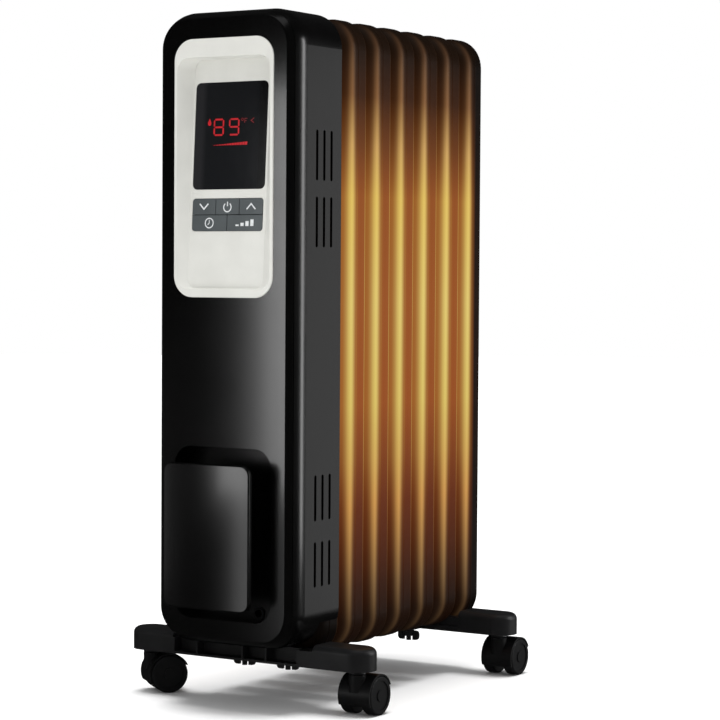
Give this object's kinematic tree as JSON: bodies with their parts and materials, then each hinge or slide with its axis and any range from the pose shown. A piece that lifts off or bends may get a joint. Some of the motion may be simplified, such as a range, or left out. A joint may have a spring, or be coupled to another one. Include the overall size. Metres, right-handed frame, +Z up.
{
  "type": "oil filled radiator heater",
  "caption": "Upright oil filled electric radiator: a row of hollow steel fins on wheeled feet, with a control housing, display and cord store at the front.",
  "frame": {"origin": "middle of the footprint's bounding box, on the floor", "axes": "+Z up, -Y out of the front with the display, +X to the right as seen from the front"},
  "size_m": [0.267, 0.3756, 0.64],
  "materials": {
    "housing_plastic": "black moulded plastic with a soft shine",
    "panel_plastic": "warm white moulded plastic, satin",
    "display_glass": "smoked acrylic, polished, with red lit figures behind it",
    "display_board": "light emitting display block",
    "key_plastic": "slate grey keys with pale printed symbols",
    "circuit_board": "green glass fibre board",
    "component_plastic": "moulded component cases",
    "gland_nylon": "black nylon",
    "element_steel": "annealed steel sheath",
    "brass_fittings": "turned brass",
    "lead_insulation": "silicone sleeved wire",
    "galvanised_steel": "galvanised sheet",
    "sensor_metal": "pressed can",
    "zinc_hardware": "black zinc plate",
    "foot_plastic": "black moulded plastic, satin",
    "fin_enamel": "dark bronze enamel with a hot golden glow",
    "caster_plastic": "black moulded nylon",
    "caster_steel": "zinc plated steel",
    "wheel_plastic": "black moulded plastic"
  },
  "bodies": {
    "root": {"front_cover": "housing_plastic", "housing_shell": "housing_plastic", "control_panel": "panel_plastic", "display_lens": "display_glass", "display_module": "display_board", "control_board": "circuit_board", "cord_wrap_post": "housing_plastic", "cord_wrap_plate": "housing_plastic", "cord_gland": "gland_nylon", "element_flange": "brass_fittings", "heating_element": "element_steel", "element_leads": "lead_insulation", "terminal_block": "component_plastic", "mounting_plate": "galvanised_steel", "plate_spacers": "galvanised_steel", "fill_plug": "brass_fittings", "thermal_cutout": "sensor_metal", "temperature_sensor": "sensor_metal", "power_board": "circuit_board", "power_components": "component_plastic", "tip_over_switch": "component_plastic", "cover_screws": "zinc_hardware", "front_foot": "foot_plastic", "rear_foot": "foot_plastic", "u_bolt_front": "zinc_hardware", "u_bolt_rear": "zinc_hardware", "wing_nuts": "zinc_hardware", "fin_1": "fin_enamel", "fin_2": "fin_enamel", "fin_3": "fin_enamel", "fin_4": "fin_enamel", "fin_5": "fin_enamel", "fin_6": "fin_enamel", "fin_7": "fin_enamel", "caster_front_left_stem": "caster_steel", "caster_front_right_stem": "caster_steel", "caster_rear_left_stem": "caster_steel", "caster_rear_right_stem": "caster_steel"},
    "button_down_body": {"button_down": "key_plastic"},
    "button_power_body": {"button_power": "key_plastic"},
    "button_up_body": {"button_up": "key_plastic"},
    "button_timer_body": {"button_timer": "key_plastic"},
    "button_mode_body": {"button_mode": "key_plastic"},
    "caster_front_left_swivel": {"caster_front_left_hood": "caster_plastic", "caster_front_left_axle": "caster_steel"},
    "caster_front_left_wheel_left_body": {"caster_front_left_wheel_left": "wheel_plastic"},
    "caster_front_left_wheel_right_body": {"caster_front_left_wheel_right": "wheel_plastic"},
    "caster_front_right_swivel": {"caster_front_right_hood": "caster_plastic", "caster_front_right_axle": "caster_steel"},
    "caster_front_right_wheel_left_body": {"caster_front_right_wheel_left": "wheel_plastic"},
    "caster_front_right_wheel_right_body": {"caster_front_right_wheel_right": "wheel_plastic"},
    "caster_rear_left_swivel": {"caster_rear_left_hood": "caster_plastic", "caster_rear_left_axle": "caster_steel"},
    "caster_rear_left_wheel_left_body": {"caster_rear_left_wheel_left": "wheel_plastic"},
    "caster_rear_left_wheel_right_body": {"caster_rear_left_wheel_right": "wheel_plastic"},
    "caster_rear_right_swivel": {"caster_rear_right_hood": "caster_plastic", "caster_rear_right_axle": "caster_steel"},
    "caster_rear_right_wheel_left_body": {"caster_rear_right_wheel_left": "wheel_plastic"},
    "caster_rear_right_wheel_right_body": {"caster_rear_right_wheel_right": "wheel_plastic"}
  },
  "joints": [
    {"name": "button_down_press", "type": "slide", "parent": "root", "child": "button_down_body", "axis": [0, 0.9982, -0.0596], "range_m": [0, 0.0008], "stiffness_N_per_m": 800},
    {"name": "button_power_press", "type": "slide", "parent": "root", "child": "button_power_body", "axis": [0, 0.9982, -0.0596], "range_m": [0, 0.0008], "stiffness_N_per_m": 800},
    {"name": "button_up_press", "type": "slide", "parent": "root", "child": "button_up_body", "axis": [0, 0.9982, -0.0596], "range_m": [0, 0.0008], "stiffness_N_per_m": 800},
    {"name": "button_timer_press", "type": "slide", "parent": "root", "child": "button_timer_body", "axis": [0, 0.9982, -0.0596], "range_m": [0, 0.0008], "stiffness_N_per_m": 800},
    {"name": "button_mode_press", "type": "slide", "parent": "root", "child": "button_mode_body", "axis": [0, 0.9982, -0.0596], "range_m": [0, 0.0008], "stiffness_N_per_m": 800},
    {"name": "caster_front_left_turn", "type": "hinge", "parent": "root", "child": "caster_front_left_swivel", "pos_m": [-0.116, -0.11065, 0.038], "axis": [0, 0, 1], "continuous": true},
    {"name": "caster_front_left_roll_left", "type": "hinge", "parent": "caster_front_left_swivel", "child": "caster_front_left_wheel_left_body", "pos_m": [-0.108, -0.10041, 0.018], "axis": [0.788, -0.6157, 0], "continuous": true},
    {"name": "caster_front_left_roll_right", "type": "hinge", "parent": "caster_front_left_swivel", "child": "caster_front_left_wheel_right_body", "pos_m": [-0.108, -0.10041, 0.018], "axis": [0.788, -0.6157, 0], "continuous": true},
    {"name": "caster_front_right_turn", "type": "hinge", "parent": "root", "child": "caster_front_right_swivel", "pos_m": [0.116, -0.11065, 0.038], "axis": [0, 0, 1], "continuous": true},
    {"name": "caster_front_right_roll_left", "type": "hinge", "parent": "caster_front_right_swivel", "child": "caster_front_right_wheel_left_body", "pos_m": [0.116, -0.09765, 0.018], "axis": [1, 0, 0], "continuous": true},
    {"name": "caster_front_right_roll_right", "type": "hinge", "parent": "caster_front_right_swivel", "child": "caster_front_right_wheel_right_body", "pos_m": [0.116, -0.09765, 0.018], "axis": [1, 0, 0], "continuous": true},
    {"name": "caster_rear_left_turn", "type": "hinge", "parent": "root", "child": "caster_rear_left_swivel", "pos_m": [-0.116, 0.15685, 0.038], "axis": [0, 0, 1], "continuous": true},
    {"name": "caster_rear_left_roll_left", "type": "hinge", "parent": "caster_rear_left_swivel", "child": "caster_rear_left_wheel_left_body", "pos_m": [-0.10474, 0.16335, 0.018], "axis": [0.5, -0.866, 0], "continuous": true},
    {"name": "caster_rear_left_roll_right", "type": "hinge", "parent": "caster_rear_left_swivel", "child": "caster_rear_left_wheel_right_body", "pos_m": [-0.10474, 0.16335, 0.018], "axis": [0.5, -0.866, 0], "continuous": true},
    {"name": "caster_rear_right_turn", "type": "hinge", "parent": "root", "child": "caster_rear_right_swivel", "pos_m": [0.116, 0.15685, 0.038], "axis": [0, 0, 1], "continuous": true},
    {"name": "caster_rear_right_roll_left", "type": "hinge", "parent": "caster_rear_right_swivel", "child": "caster_rear_right_wheel_left_body", "pos_m": [0.116, 0.16985, 0.018], "axis": [1, 0, 0], "continuous": true},
    {"name": "caster_rear_right_roll_right", "type": "hinge", "parent": "caster_rear_right_swivel", "child": "caster_rear_right_wheel_right_body", "pos_m": [0.116, 0.16985, 0.018], "axis": [1, 0, 0], "continuous": true}
  ]
}
